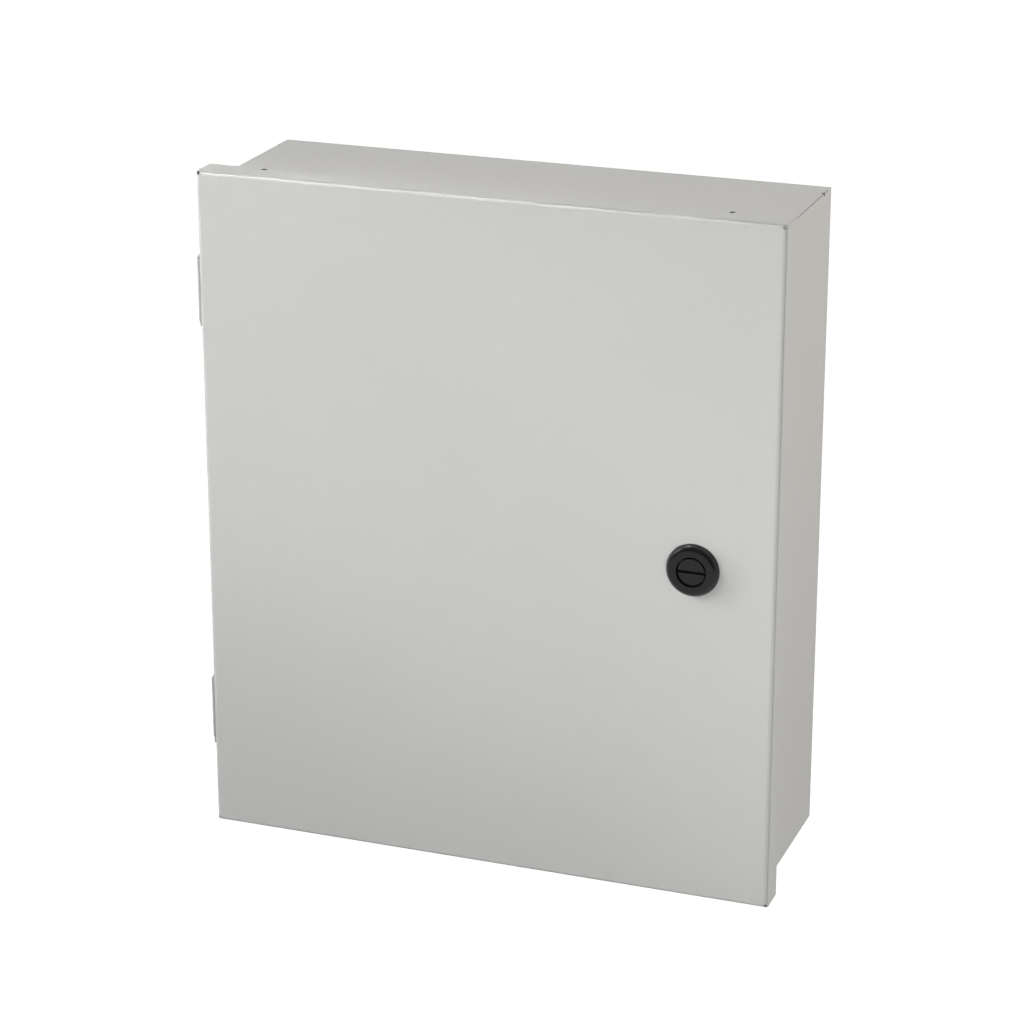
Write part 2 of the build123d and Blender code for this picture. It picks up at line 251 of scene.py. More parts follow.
def ease_edges(piece, width, steps=2, angle=35):
    """Rounds the sharp edges and keeps the flats flat."""
    open_mesh(piece)
    bpy.ops.mesh.select_all(action="SELECT")
    bpy.ops.mesh.remove_doubles(threshold=0.01 * MM)
    bpy.ops.mesh.dissolve_limited(angle_limit=radians(0.4))
    close_mesh()
    modify(
        piece, "BEVEL", width=width * MM, segments=steps, limit_method="ANGLE",
        angle_limit=radians(angle), use_clamp_overlap=False, miter_outer="MITER_ARC",
    )
    smooth(piece)


def smooth(piece, angle=50):
    """Smooth shading that keeps flat faces flat."""
    only(piece)
    bpy.ops.object.shade_smooth_by_angle(angle=radians(angle))
    modify(piece, "WEIGHTED_NORMAL", weight=100, keep_sharp=True)


def traced(name, points):
    """A line of corners through the points, each drawn out of the one before."""
    bpy.ops.mesh.primitive_plane_add(size=MM, location=Vector(points[0]) * MM)
    line = settle_new(name)
    open_mesh(line)
    bpy.ops.mesh.select_mode(type="VERT")
    bpy.ops.mesh.select_all(action="SELECT")
    bpy.ops.mesh.merge(type="CENTER")
    for before, after in zip(points, points[1:]):
        step = (Vector(after) - Vector(before)) * MM
        bpy.ops.mesh.extrude_region_move(TRANSFORM_OT_translate={"value": step})
    close_mesh()
    return line


def turned(name, outline, seat, direction, steps=72):
    """A lathe-turned piece. The outline holds radius and height, measured from the seat."""
    seat, direction = Vector(seat), Vector(direction)
    across = Vector((1, 0, 0))
    closed = [*outline, outline[0]]
    piece = traced(name, [seat + across * radius + direction * height for radius, height in closed])
    open_mesh(piece)
    bpy.ops.mesh.select_all(action="SELECT")
    bpy.ops.mesh.remove_doubles(threshold=0.001 * MM)
    bpy.ops.mesh.select_all(action="SELECT")
    bpy.ops.mesh.spin(steps=steps, angle=2 * pi, center=seat * MM, axis=direction)
    bpy.ops.mesh.select_all(action="SELECT")
    bpy.ops.mesh.remove_doubles(threshold=0.002 * MM)
    bpy.ops.mesh.select_all(action="SELECT")
    bpy.ops.mesh.delete_loose(use_faces=False)
    bpy.ops.mesh.select_all(action="SELECT")
    bpy.ops.mesh.normals_make_consistent(inside=False)
    close_mesh()
    return piece


def arc(centre, radius, start, sweep, steps):
    """Points on an arc, with its angles in degrees."""
    angles = [radians(start + sweep * step / steps) for step in range(steps + 1)]
    return [(centre[0] + radius * cos(angle), centre[1] + radius * sin(angle)) for angle in angles]


def strip(name, line, place, height, thickness):
    """A strip of sheet bent along a line in X and Y, standing upright."""
    low = place[2] - height / 2
    piece = traced(name, [(place[0] + x, place[1] + y, low) for x, y in line])
    open_mesh(piece)
    bpy.ops.mesh.select_mode(type="EDGE")
    bpy.ops.mesh.select_all(action="SELECT")
    bpy.ops.mesh.extrude_region_move(TRANSFORM_OT_translate={"value": (0, 0, height * MM)})
    close_mesh()
    modify(piece, "SOLIDIFY", thickness=thickness * MM, offset=0, use_even_offset=True)
    open_mesh(piece)
    bpy.ops.mesh.select_all(action="SELECT")
    bpy.ops.mesh.normals_make_consistent(inside=False)
    close_mesh()
    return piece


def cut_thread(piece, seat, direction, core, crest, pitch, start, end):
    """Raises a helical thread on the turned rows between two heights."""
    seat, direction = Vector(seat), Vector(direction)
    for corner in piece.data.vertices:
        place = corner.co / MM - seat
        height = place.dot(direction)
        spoke = place - direction * height
        if spoke.length < core - 0.05 or not start < height < end:
            continue
        turn = atan2(spoke.z, spoke.x)
        phase = (height / pitch + turn / (2 * pi)) % 1.0
        radius = crest - (crest - core) * abs(2 * phase - 1)
        corner.co = (seat + direction * height + spoke * (radius / spoke.length)) * MM
    piece.data.update()


def dress(piece, body, slot, node):
    """The piece wears its finish, moves with its body and stands for a CAD node."""
    if not any(piece.data.materials):
        piece.data.materials.clear()
        piece.data.materials.append(finishes[slot])
    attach(piece, body)
    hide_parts(node)


def dress_node(name, slot, width):
    """A CAD piece that is shown as it is, with its finish and its sharp edges eased."""
    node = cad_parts[name]
    node.data.materials.clear()
    node.data.materials.append(finishes[slot])
    weld = node.modifiers.new("weld", "WELD")
    weld.merge_threshold = 0.002 * MM
    bevel = node.modifiers.new("bevel", "BEVEL")
    bevel.width = width * MM
    bevel.segments = 2
    bevel.limit_method = "ANGLE"
    bevel.angle_limit = radians(35)


# Finishes


GROUP_OUTPUTS = [
    ("Colour", "NodeSocketColor"),
    ("Roughness", "NodeSocketFloat"),
    ("Height", "NodeSocketFloat"),
]


def new_group(name, inputs, outputs):
    """An empty shader group with its sockets."""
    group = bpy.data.node_groups.new(name, "ShaderNodeTree")
    for socket, kind, value in inputs:
        made = group.interface.new_socket(name=socket, in_out="INPUT", socket_type=kind)
        if value is not None:
            made.default_value = value
    for socket, kind in outputs:
        group.interface.new_socket(name=socket, in_out="OUTPUT", socket_type=kind)
    return group, group.nodes.new("NodeGroupInput"), group.nodes.new("NodeGroupOutput")


def add_noise(tree, place, scale, detail, roughness=0.5):
    """A noise texture over the given coordinates."""
    noise = tree.nodes.new("ShaderNodeTexNoise")
    noise.inputs["Detail"].default_value = detail
    noise.inputs["Roughness"].default_value = roughness
    tree.links.new(place, noise.inputs["Vector"])
    feed(tree, scale, noise.inputs["Scale"])
    return noise.outputs["Fac"]


def feed(tree, value, socket):
    """Links an output to a socket, or sets the socket to a number."""
    if isinstance(value, (int, float)):
        socket.default_value = value
    else:
        tree.links.new(value, socket)


def add_math(tree, operation, first, second=0.0, third=None):
    """One sum."""
    node = tree.nodes.new("ShaderNodeMath")
    node.operation = operation
    feed(tree, first, node.inputs[0])
    feed(tree, second, node.inputs[1])
    if third is not None:
        feed(tree, third, node.inputs[2])
    return node.outputs[0]


def make_skin_group():
    """The fine skin of a painted or moulded surface: waves, flecks, a drift of tone and gloss."""
    group, taken, given = new_group(
        "surface_skin",
        [
            ("Place", "NodeSocketVector", None),
            ("Colour", "NodeSocketColor", (0.8, 0.8, 0.8, 1)),
            ("Wave Scale", "NodeSocketFloat", 900.0),
            ("Fleck Scale", "NodeSocketFloat", 2600.0),
            ("Fleck Share", "NodeSocketFloat", 0.35),
            ("Tone Drift", "NodeSocketFloat", 0.02),
            ("Roughness", "NodeSocketFloat", 0.4),
            ("Gloss Drift", "NodeSocketFloat", 0.05),
        ],
        GROUP_OUTPUTS,
    )
    place = taken.outputs["Place"]
    waves = add_noise(group, place, taken.outputs["Wave Scale"], 1.5)
    flecks = add_noise(group, place, taken.outputs["Fleck Scale"], 2.0)
    drift = add_noise(group, place, 14.0, 3.0)
    fleck_height = add_math(group, "MULTIPLY", flecks, taken.outputs["Fleck Share"])
    group.links.new(add_math(group, "ADD", waves, fleck_height), given.inputs["Height"])
    fleck_tone = add_math(group, "SUBTRACT", flecks, 0.5)
    drift_tone = add_math(group, "SUBTRACT", drift, 0.5)
    tone = add_math(group, "ADD", fleck_tone, drift_tone)
    tone = add_math(group, "MULTIPLY_ADD", tone, taken.outputs["Tone Drift"], 1.0)
    shade = group.nodes.new("ShaderNodeVectorMath")
    shade.operation = "SCALE"
    group.links.new(taken.outputs["Colour"], shade.inputs[0])
    group.links.new(tone, shade.inputs["Scale"])
    group.links.new(shade.outputs[0], given.inputs["Colour"])
    gloss = add_math(
        group, "MULTIPLY_ADD", drift_tone, taken.outputs["Gloss Drift"], taken.outputs["Roughness"]
    )
    group.links.new(gloss, given.inputs["Roughness"])
    return group


def make_zinc_group():
    """Zinc plate: fine streaks, spangle and a slight yellow and blue cast."""
    group, taken, given = new_group(
        "zinc_plate",
        [
            ("Place", "NodeSocketVector", None),
            ("Streak Scale", "NodeSocketFloat", 1800.0),
            ("Spangle Scale", "NodeSocketFloat", 350.0),
            ("Roughness", "NodeSocketFloat", 0.3),
        ],
        GROUP_OUTPUTS,
    )
    place = taken.outputs["Place"]
    streaks = add_noise(group, place, taken.outputs["Streak Scale"], 3.0, 0.7)
    spangle = add_noise(group, place, taken.outputs["Spangle Scale"], 2.0)
    ramp = group.nodes.new("ShaderNodeValToRGB")
    ramp.color_ramp.elements[0].position = 0.35
    ramp.color_ramp.elements[0].color = (0.60, 0.61, 0.62, 1)
    ramp.color_ramp.elements[1].position = 0.65
    ramp.color_ramp.elements[1].color = (0.70, 0.68, 0.62, 1)
    group.links.new(spangle, ramp.inputs["Fac"])
    group.links.new(ramp.outputs["Color"], given.inputs["Colour"])
    drift = add_math(group, "MULTIPLY_ADD", streaks, 0.16, taken.outputs["Roughness"])
    group.links.new(drift, given.inputs["Roughness"])
    group.links.new(streaks, given.inputs["Height"])
    return group


def new_material(name):
    """An empty node material, its nodes and its shader."""
    material = bpy.data.materials.new(name)
    material.use_nodes = True
    return material, material.node_tree, material.node_tree.nodes["Principled BSDF"]


def make_finish(name, group, settings, bump, specular=0.5):
    """A material from one of the groups, with its own values and a relief in millimetres."""
    material, tree, shader = new_material(name)
    place = tree.nodes.new("ShaderNodeTexCoord")
    skin = tree.nodes.new("ShaderNodeGroup")
    skin.node_tree = group
    tree.links.new(place.outputs["Object"], skin.inputs["Place"])
    for socket, value in settings.items():
        skin.inputs[socket].default_value = value
    relief = tree.nodes.new("ShaderNodeBump")
    relief.inputs["Distance"].default_value = bump * MM
    relief.inputs["Strength"].default_value = 1.0
    tree.links.new(skin.outputs["Height"], relief.inputs["Height"])
    tree.links.new(skin.outputs["Colour"], shader.inputs["Base Color"])
    tree.links.new(skin.outputs["Roughness"], shader.inputs["Roughness"])
    tree.links.new(relief.outputs["Normal"], shader.inputs["Normal"])
    shader.inputs["Specular IOR Level"].default_value = specular
    return material


skin = make_skin_group()
zinc = make_zinc_group()
finishes = {
    "powder_coat": make_finish(
        "powder_coat", skin,
        {"Colour": (0.585, 0.585, 0.570, 1), "Wave Scale": 800.0, "Fleck Scale": 2400.0,
         "Fleck Share": 0.4, "Tone Drift": 0.03, "Roughness": 0.42, "Gloss Drift": 0.06}, 0.018,
    ),
    "panel_coat": make_finish(
        "panel_coat", skin,
        {"Colour": (0.80, 0.80, 0.78, 1), "Wave Scale": 600.0, "Fleck Scale": 1900.0,
         "Fleck Share": 0.3, "Tone Drift": 0.02, "Roughness": 0.32, "Gloss Drift": 0.05}, 0.02,
    ),
    "foam": make_finish(
        "foam", skin,
        {"Colour": (0.028, 0.028, 0.030, 1), "Wave Scale": 900.0, "Fleck Scale": 3200.0,
         "Fleck Share": 1.0, "Tone Drift": 0.9, "Roughness": 0.85, "Gloss Drift": 0.1}, 0.15, 0.25,
    ),
    "latch_black": make_finish(
        "latch_black", skin,
        {"Colour": (0.006, 0.006, 0.0065, 1), "Wave Scale": 500.0, "Fleck Scale": 3000.0,
         "Fleck Share": 0.2, "Tone Drift": 0.1, "Roughness": 0.22, "Gloss Drift": 0.06}, 0.006, 0.5,
    ),
    "plated_steel": make_finish("plated_steel", zinc, {}, 0.004),
    # A darker copy of the powder coat for the hinge leaves: painted shade, darkening the hinge lugs
    # where they sit in shade
    "hinge_painted_shade": make_finish(
        "hinge_painted_shade", skin,
        {"Colour": (0.42, 0.42, 0.41, 1), "Wave Scale": 800.0, "Fleck Scale": 2400.0,
         "Fleck Share": 0.4, "Tone Drift": 0.04, "Roughness": 0.42, "Gloss Drift": 0.06}, 0.018,
    ),
    # Dark brown for the walls of cut holes, seams and notches: painted shade that darkens them
    # where they look dark
    "painted_cut_shade": make_finish(
        "painted_cut_shade", skin,
        {"Colour": (0.15, 0.135, 0.115, 1), "Wave Scale": 1500.0, "Fleck Scale": 4000.0,
         "Fleck Share": 0.6, "Tone Drift": 0.5, "Roughness": 0.6, "Gloss Drift": 0.2}, 0.01, 0.3,
    ),
}
finishes["plated_steel"].node_tree.nodes["Principled BSDF"].inputs["Metallic"].default_value = 1.0


# Folded box and door


def folded_tray(name, low, high, face, mouth, lip=0.0):
    """A tray folded from one sheet, open at the mouth, with a lip turned in round it."""
    tray = block(name, low, high)
    tray.data.materials.append(finishes["powder_coat"])
    open_mesh(tray)
    pick(tray, "FACE", lambda element, middle: near(middle.y, mouth))
    if lip:
        bpy.ops.mesh.inset(thickness=lip * MM, depth=0)
    bpy.ops.mesh.delete(type="FACE")
    folds = (face, mouth) if lip else (face,)

    def is_fold(element, middle):
        on_rim = any(near(abs(middle[axis]), high[axis]) for axis in (0, 2))
        return on_rim and any(near(middle.y, fold) for fold in folds)

    pick(tray, "EDGE", is_fold)
    bpy.ops.mesh.bevel(offset=FOLD_RADIUS * MM, segments=FOLD_STEPS, profile=0.5)
    close_mesh()
    modify(
        tray, "SOLIDIFY", thickness=SHEET * MM, offset=-1,
        use_even_offset=True, use_quality_normals=True,
    )
    return tray


def punch(tray, tool):
    """Cuts the sheet and gives the cut walls the dark brown finish, painted shade where holes and
    seams look dark.
    """
    tool.data.materials.append(finishes["painted_cut_shade"])
    cut(tray, tool)


def slit_seam(tray, corner, inner, outer, start, end, saw):
    """Saws an open seam on the diagonal of one corner, between two distances from the corner."""
    x, z = corner
    reach = (outer + inner) / 2 / sqrt(2)
    middle = Vector((x + reach * x / abs(x), (start + end) / 2, z + reach * z / abs(z)))
    half = Vector(((outer - inner) / 2, abs(end - start) / 2, SEAM_GAP / 2))
    saw(tray, block("blade", middle - half, middle + half, -atan2(z / abs(z), x / abs(x))))


def corner_details(tray, half_x, half_z, face, mouth, saw, lip=0.0):
    """Seams and round reliefs where the folds meet."""
    wall_reach = -SEAM_INSIDE * FOLD_RADIUS * sqrt(2)
    lip_reach = -(lip + SEAM_PAST_LIP) * sqrt(2)
    inset = FOLD_RADIUS / 2
    for x in (-half_x, half_x):
        for z in (-half_z, half_z):
            slit_seam(
                tray, (x, z), wall_reach, SAW_OVERSHOOT,
                face - SAW_MARGIN, mouth + SAW_MARGIN, saw,
            )
            if lip:
                slit_seam(
                    tray, (x, z), lip_reach, SAW_OVERSHOOT,
                    mouth - SAW_MARGIN, mouth + 2 * SHEET, saw,
                )
            place = (x - inset * x / half_x, face, z - inset * z / half_z)
            cut(tray, rod("drill", place, INWARD, RELIEF_RADIUS, 4 * FOLD_RADIUS, SMALL_SIDES))


body_low, body_high = corners_of("enclosure_body")
door_low, door_high = corners_of("door_panel")
door_face, door_mouth = door_low.y, door_high.y

body = folded_tray("box_body", body_low, body_high, body_high.y, body_low.y, BODY_LIP)
# The body's seams, and the notches below, get the dark brown painted shade on their cut walls
corner_details(body, body_high.x, body_high.z, body_high.y, body_low.y, punch, BODY_LIP)
for x in (body_low.x, body_high.x):
    for z in (body_low.z, body_high.z):
        outwards = (x / abs(x), 0, z / abs(z))
        place = (x, -NOTCH_RISE, z)
        punch(body, rod("punch", place, outwards, NOTCH_RADIUS, 4 * SHEET, SMALL_SIDES))
hole_x, hole_z, hole_radius = WALL_HOLE
for x in (-hole_x, hole_x):
    for z in (-hole_z, hole_z):
        cut(body, rod("drill", (x, 0, z), INWARD, hole_radius, 4 * SHEET))
ease_edges(body, PAINT_EDGE)
dress(body, "box", "powder_coat", "enclosure_body")

latch_low, latch_high = corners_of("latch_housing")
latch_x = (latch_low.x + latch_high.x) / 2
latch_seat = (latch_x, door_face, 0)

door = folded_tray("door_pan", door_low, door_high, door_face, door_mouth)
corner_details(door, door_high.x, door_high.z, door_face, door_mouth, cut)
hole = rod("barrel_hole", latch_seat, INWARD, BARREL_RADIUS + LATCH_FIT, 4 * SHEET, LARGE_SIDES)
half_flats = Vector((FLAT_CUTTER, FLAT_CUTTER, BARREL_FLAT + LATCH_FIT))
flats = block("flats", Vector(latch_seat) - half_flats, Vector(latch_seat) + half_flats)
cut(hole, flats, "INTERSECT")
cut(door, hole)
hole_x, hole_y, hole_radius = HANGING_HOLE
# The hanging holes get the dark brown painted shade on their walls
for x in (-hole_x, hole_x):
    punch(door, rod("drill", (x, hole_y, door_high.z), UP, hole_radius, 4 * SHEET, SMALL_SIDES))
ease_edges(door, PAINT_EDGE)
dress(door, "door", "powder_coat", "door_panel")


# Foam gasket


def rounded_block(name, low, high, radius):
    """A block whose four edges that run from front to back are rounded."""
    piece = block(name, low, high)
    middle_x, middle_z = (low.x + high.x) / 2, (low.z + high.z) / 2
    open_mesh(piece)
    pick(
        piece, "EDGE",
        lambda edge, middle: near(abs(middle.x - middle_x), high.x - middle_x)
        and near(abs(middle.z - middle_z), high.z - middle_z),
    )
    bpy.ops.mesh.bevel(offset=radius * MM, segments=8, profile=0.5)
    close_mesh()
    return piece


def make_gasket():
    """A poured foam strip with round shoulders, stuck inside the door."""
    low, high = corners_of("door_gasket")
    gasket = rounded_block("door_gasket_foam", low, high, GASKET_WIDTH)
    inwards = Vector((GASKET_WIDTH, -5.0, GASKET_WIDTH))
    opening = rounded_block("gasket_opening", low + inwards, high - inwards, GASKET_INNER_CORNER)
    cut(gasket, opening)
    ease_edges(gasket, GASKET_ROUND, 4, 60)
    dress(gasket, "door", "foam", "door_gasket")


make_gasket()


# Hinges


def make_body_leaf(name, node, centre):
    """The leaf welded to the side wall, led round the door's flange and curled into knuckles."""
    high = corners_of(node)[1]
    half_leaf = HINGE_LEAF / 2
    half_height = HINGE_HEIGHT / 2
    wall_x = body_low.x - half_leaf - centre.x
    behind_y = door_mouth + HINGE_FLANGE_GAP + half_leaf - centre.y
    bend = HINGE_BEND
    line = [
        (wall_x, high.y - centre.y),
        *arc((wall_x - bend, behind_y + bend), bend, 0, -90, 5),
        *arc((-HINGE_CURL + bend, behind_y - bend), bend, 90, 90, 5),
        *arc((0, 0), HINGE_CURL, 180, 270, CURL_STEPS),
    ]
    leaf = strip(name, line, centre, HINGE_HEIGHT, HINGE_LEAF)
    # The darker hinge coat is painted shade on this leaf
    leaf.data.materials.append(finishes["hinge_painted_shade"])
    open_mesh(leaf)
    pick(
        leaf, "EDGE",
        lambda edge, middle: near(middle.y, high.y) and near(abs(middle.z - centre.z), half_height),
    )
    bpy.ops.mesh.bevel(offset=HINGE_CORNER * MM, segments=6, profile=0.5)
    close_mesh()
    reach = 8
    half_notch = HINGE_KNUCKLE / 2 + HINGE_GAP
    notch_low = (centre.x - reach, centre.y - reach, centre.z - half_notch)
    notch_high = (centre.x + reach, door_mouth, centre.z + half_notch)
    cut(leaf, block("notch", notch_low, notch_high))
    ease_edges(leaf, HINGE_EDGE)
    dress(leaf, "box", "powder_coat", node)


def make_door_leaf(name, node, centre):
    """The leaf welded to the door's flange, with the middle knuckle."""
    low = corners_of(node)[0]
    half_leaf = HINGE_LEAF / 2
    half_height = HINGE_HEIGHT / 2
    flat_x = door_low.x - half_leaf - centre.x
    shoulder = -HINGE_CURL - half_leaf - HINGE_GAP - half_leaf
    front_y = low.y - centre.y
    line = [
        (flat_x, shoulder - 2), (flat_x, shoulder), (HINGE_CURL, shoulder + HINGE_LEAF),
        *arc((0, 0), HINGE_CURL, 0, 270, CURL_STEPS),
    ]
    leaf = strip(name, line, centre, HINGE_KNUCKLE, HINGE_LEAF)
    # The darker hinge coat is painted shade on this leaf and on its flat
    leaf.data.materials.append(finishes["hinge_painted_shade"])
    flat_low = (centre.x + flat_x - half_leaf, centre.y + front_y, centre.z - half_height)
    flat_high = (centre.x + flat_x + half_leaf, centre.y + shoulder, centre.z + half_height)
    flat = block("flat", flat_low, flat_high)
    flat.data.materials.append(finishes["hinge_painted_shade"])
    cut(leaf, flat, "UNION")
    ease_edges(leaf, HINGE_EDGE)
    dress(leaf, "door", "powder_coat", node)


def make_pin(name, node, centre):
    """The headed pin that both leaves turn on."""
    head_radius, head_height = PIN_HEAD
    half = HINGE_HEIGHT / 2
    tail = -half - PIN_TAIL
    rim = half + PIN_HEAD_RIM
    outline = [
        (0, tail), (PIN_RADIUS - PIN_TIP, tail), (PIN_RADIUS, tail + PIN_TIP),
        (PIN_RADIUS, half), (head_radius, half), (head_radius, rim),
        *arc((head_radius - PIN_HEAD_ROUND, rim), PIN_HEAD_ROUND, 0, 90, 6)[1:],
        (0, half + head_height),
    ]
    pin = turned(name, outline, centre, UP, SMALL_SIDES)
    smooth(pin, 40)
    dress(pin, "box", "plated_steel", node)


def make_hinge(place):
    """A body leaf, a door leaf and the pin through them."""
    low, high = corners_of(place + "_hinge_body_leaf")
    pin_low, pin_high = corners_of(place + "_hinge_pin")
    centre = Vector((
        (pin_low.x + pin_high.x) / 2, (pin_low.y + pin_high.y) / 2, (low.z + high.z) / 2
    ))
    make_body_leaf(place + "_leaf_on_body", place + "_hinge_body_leaf", centre)
    make_door_leaf(place + "_leaf_on_door", place + "_hinge_door_leaf", centre)
    make_pin(place + "_pin", place + "_hinge_pin", centre)


make_hinge("upper")
make_hinge("lower")


# Quarter-turn latch


def make_latch_housing():
    """The bezel: flat crown, swelling shoulder, deep well, and a threaded barrel with two flats."""
    shoulder_x = (HEAD_RADIUS + CROWN_RADIUS) / 2 + SHOULDER_SWELL
    shoulder_y = (HEAD_EDGE + HEAD_HEIGHT) / 2 + SHOULDER_SWELL
    rows = int(-BARREL_END / BARREL_PITCH * ROWS_PER_PITCH)
    barrel = [(BARREL_RADIUS, BARREL_END * row / rows) for row in range(1, rows)]
    outline = [
        (BORE_RADIUS, BARREL_END), (BORE_RADIUS, WELL_FLOOR), (WELL_RADIUS, WELL_FLOOR),
        (WELL_RADIUS, HEAD_HEIGHT - 0.5), (WELL_RADIUS + 0.15, HEAD_HEIGHT - 0.15),
        (WELL_RADIUS + 0.5, HEAD_HEIGHT),
        (CROWN_RADIUS - 0.4, HEAD_HEIGHT), (CROWN_RADIUS + 0.15, HEAD_HEIGHT - 0.12),
        (shoulder_x - 0.7, shoulder_y + 0.85), (shoulder_x, shoulder_y),
        (shoulder_x + 0.55, shoulder_y - 0.85),
        (HEAD_RADIUS, HEAD_EDGE), (HEAD_RADIUS, 0.25), (HEAD_RADIUS - 0.15, 0),
        (BARREL_RADIUS, 0), *barrel, (BARREL_RADIUS - 0.4, BARREL_END),
    ]
    housing = turned("latch_bezel", outline, latch_seat, OUT, FINE_SIDES)
    cut_thread(
        housing, latch_seat, OUT, BARREL_RADIUS - THREAD_DEPTH, BARREL_RADIUS, BARREL_PITCH,
        BARREL_END + 0.2, -SHEET - 0.2,
    )
    back = door_face - BARREL_END
    for side in (-1, 1):
        edge, far = side * BARREL_FLAT, side * (BARREL_RADIUS + 2)
        flat_low = (latch_x - FLAT_CUTTER, door_face, min(edge, far))
        flat_high = (latch_x + FLAT_CUTTER, back + 1, max(edge, far))
        cut(housing, block("flat", flat_low, flat_high))
    smooth(housing, 40)
    dress(housing, "door", "latch_black", "latch_housing")


def make_rotor():
    """The slotted disc with its shank and the square that carries the cam."""
    square_end = corners_of("latch_rotor")[1].y
    outline = [
        (0, BARREL_END), (SHANK_RADIUS, BARREL_END), (SHANK_RADIUS, ROTOR_UNDER),
        (ROTOR_RADIUS, ROTOR_UNDER), (ROTOR_RADIUS, ROTOR_TOP - 0.4),
        (ROTOR_RADIUS - 0.12, ROTOR_TOP - 0.12), (ROTOR_RADIUS - 0.4, ROTOR_TOP), (0, ROTOR_TOP),
    ]
    rotor = turned("latch_coin_disc", outline, latch_seat, OUT, FINE_SIDES)
    top = door_face - ROTOR_TOP
    half_slot = SLOT_WIDTH / 2
    cut(rotor, block(
        "slot", (latch_x - 10, top - 1, -half_slot), (latch_x + 10, top + SLOT_DEPTH, half_slot)
    ))
    shank_end = door_face - BARREL_END
    square = block(
        "square", (latch_x - CAM_SQUARE, shank_end - 1, -CAM_SQUARE),
        (latch_x + CAM_SQUARE, square_end, CAM_SQUARE),
    )
    cut(rotor, square, "UNION")
    bore_radius, bore_length = CAM_SCREW_BORE
    bore_middle = (latch_x, square_end, 0)
    cut(rotor, rod("screw_hole", bore_middle, INWARD, bore_radius, bore_length, SMALL_SIDES))
    ease_edges(rotor, 0.12, 2, 40)
    dress(rotor, "latch", "latch_black", "latch_rotor")


make_latch_housing()
make_rotor()


# Nuts, studs and the mounting panel


def make_hexagon(name, seat, direction, flats, height):
    """A hexagonal block with its corners turned off at both ends."""
    corner = flats / sqrt(3)
    ease = (corner - flats / 2) * 0.6
    hexagon = rod(name, Vector(seat) + Vector(direction) * height / 2, direction, corner, height, 6)
    outline = [
        (0, 0), (corner - 2 * ease, 0), (corner, ease),
        (corner, height - ease), (corner - 2 * ease, height), (0, height),
    ]
    cut(hexagon, turned("blank", outline, seat, direction, LARGE_SIDES), "INTERSECT")
    return hexagon


def make_latch_nut():
    """The big nut that clamps the latch in the door."""
    low = corners_of("latch_nut")[0]
    flats, height = LATCH_NUT
    nut = make_hexagon("latch_clamp_nut", (latch_x, low.y, 0), INWARD, flats, height)
    bore_radius = BARREL_RADIUS - 0.2
    cut(nut, rod("bore", (latch_x, low.y, 0), INWARD, bore_radius, 3 * height, LARGE_SIDES))
    ease_edges(nut, 0.15, 2, 40)
    dress(nut, "door", "plated_steel", "latch_nut")


def make_flange_nut(name, node, body_name, direction, flats, height, flange_height, bore):
    """A hexagon nut with a coned flange on its seat."""
    low, high = corners_of(node)
    direction = Vector(direction)
    middle = (low + high) / 2
    seat = middle - direction * (high.y - low.y) / 2
    flange = (high.x - low.x) / 2
    hexagon_seat = seat + direction * HEXAGON_LIFT
    hexagon = make_hexagon(name + "_hexagon", hexagon_seat, direction, flats, height - HEXAGON_LIFT)
    cone_top = (flange_height + height) / 2
    outline = [
        (0, 0), (flange - 0.15, 0), (flange, 0.2), (flange, flange_height - 0.2),
        (flange - 0.2, flange_height), (flats / 2 - 0.4, cone_top), (0, cone_top),
    ]
    nut = turned(name, outline, seat, direction, 64)
    cut(nut, hexagon, "UNION")
    cut(nut, rod("bore", middle, direction, bore, 2 * height, 40))
    ease_edges(nut, 0.12, 2, 45)
    dress(nut, body_name, "plated_steel", node)


def make_stud(name, node, body_name, direction, outline, core, crest, pitch, thread_start):
    """A weld stud: foot, collar and a rolled thread."""
    low, high = corners_of(node)
    direction = Vector(direction)
    middle = (low + high) / 2
    length = high.y - low.y
    seat = middle - direction * length / 2
    rows = int((length - thread_start) / pitch * ROWS_PER_PITCH)
    thread_length = length - STUD_TIP - thread_start
    thread = [(crest, thread_start + thread_length * row / rows) for row in range(rows + 1)]
    tip = [(crest - STUD_TIP, length), (0, length)]
    stud = turned(name, [(0, 0), *outline, *thread, *tip], seat, direction, MEDIUM_SIDES)
    cut_thread(stud, seat, direction, core, crest, pitch, thread_start + 0.1, length - 0.1)
    smooth(stud, 50)
    dress(stud, body_name, "plated_steel", node)


def make_panel():
    """The removable white mounting panel."""
    low, high = corners_of("mounting_panel")
    panel = rounded_block("inner_panel", low, high, PANEL_ROUND)
    for place in PANEL_CORNERS:
        nut_low, nut_high = corners_of("panel_nut_" + place)
        middle = (nut_low + nut_high) / 2
        cut(panel, rod("drill", (middle.x, low.y, middle.z), INWARD, PANEL_HOLE, 8, MEDIUM_SIDES))
    ease_edges(panel, 0.2)
    dress(panel, "box", "panel_coat", "mounting_panel")


make_latch_nut()
for name in ("latch_cam", "cam_washer", "cam_screw"):
    dress_node(name, "plated_steel", 0.15)
make_panel()
for place in PANEL_CORNERS:
    make_stud("weld_stud_" + place, "panel_stud_" + place, "box", OUT, *PANEL_STUD)
    make_flange_nut("clamp_nut_" + place, "panel_nut_" + place, "box", OUT, *PANEL_NUT)
for place, body_name, direction in (("body", "box", OUT), ("door", "door", INWARD)):
    make_stud(place + "_lead_stud", place + "_earth_stud", body_name, direction, *EARTH_STUD)
    make_flange_nut(place + "_lead_nut", place + "_earth_nut", body_name, direction, *EARTH_NUT)


# Studio


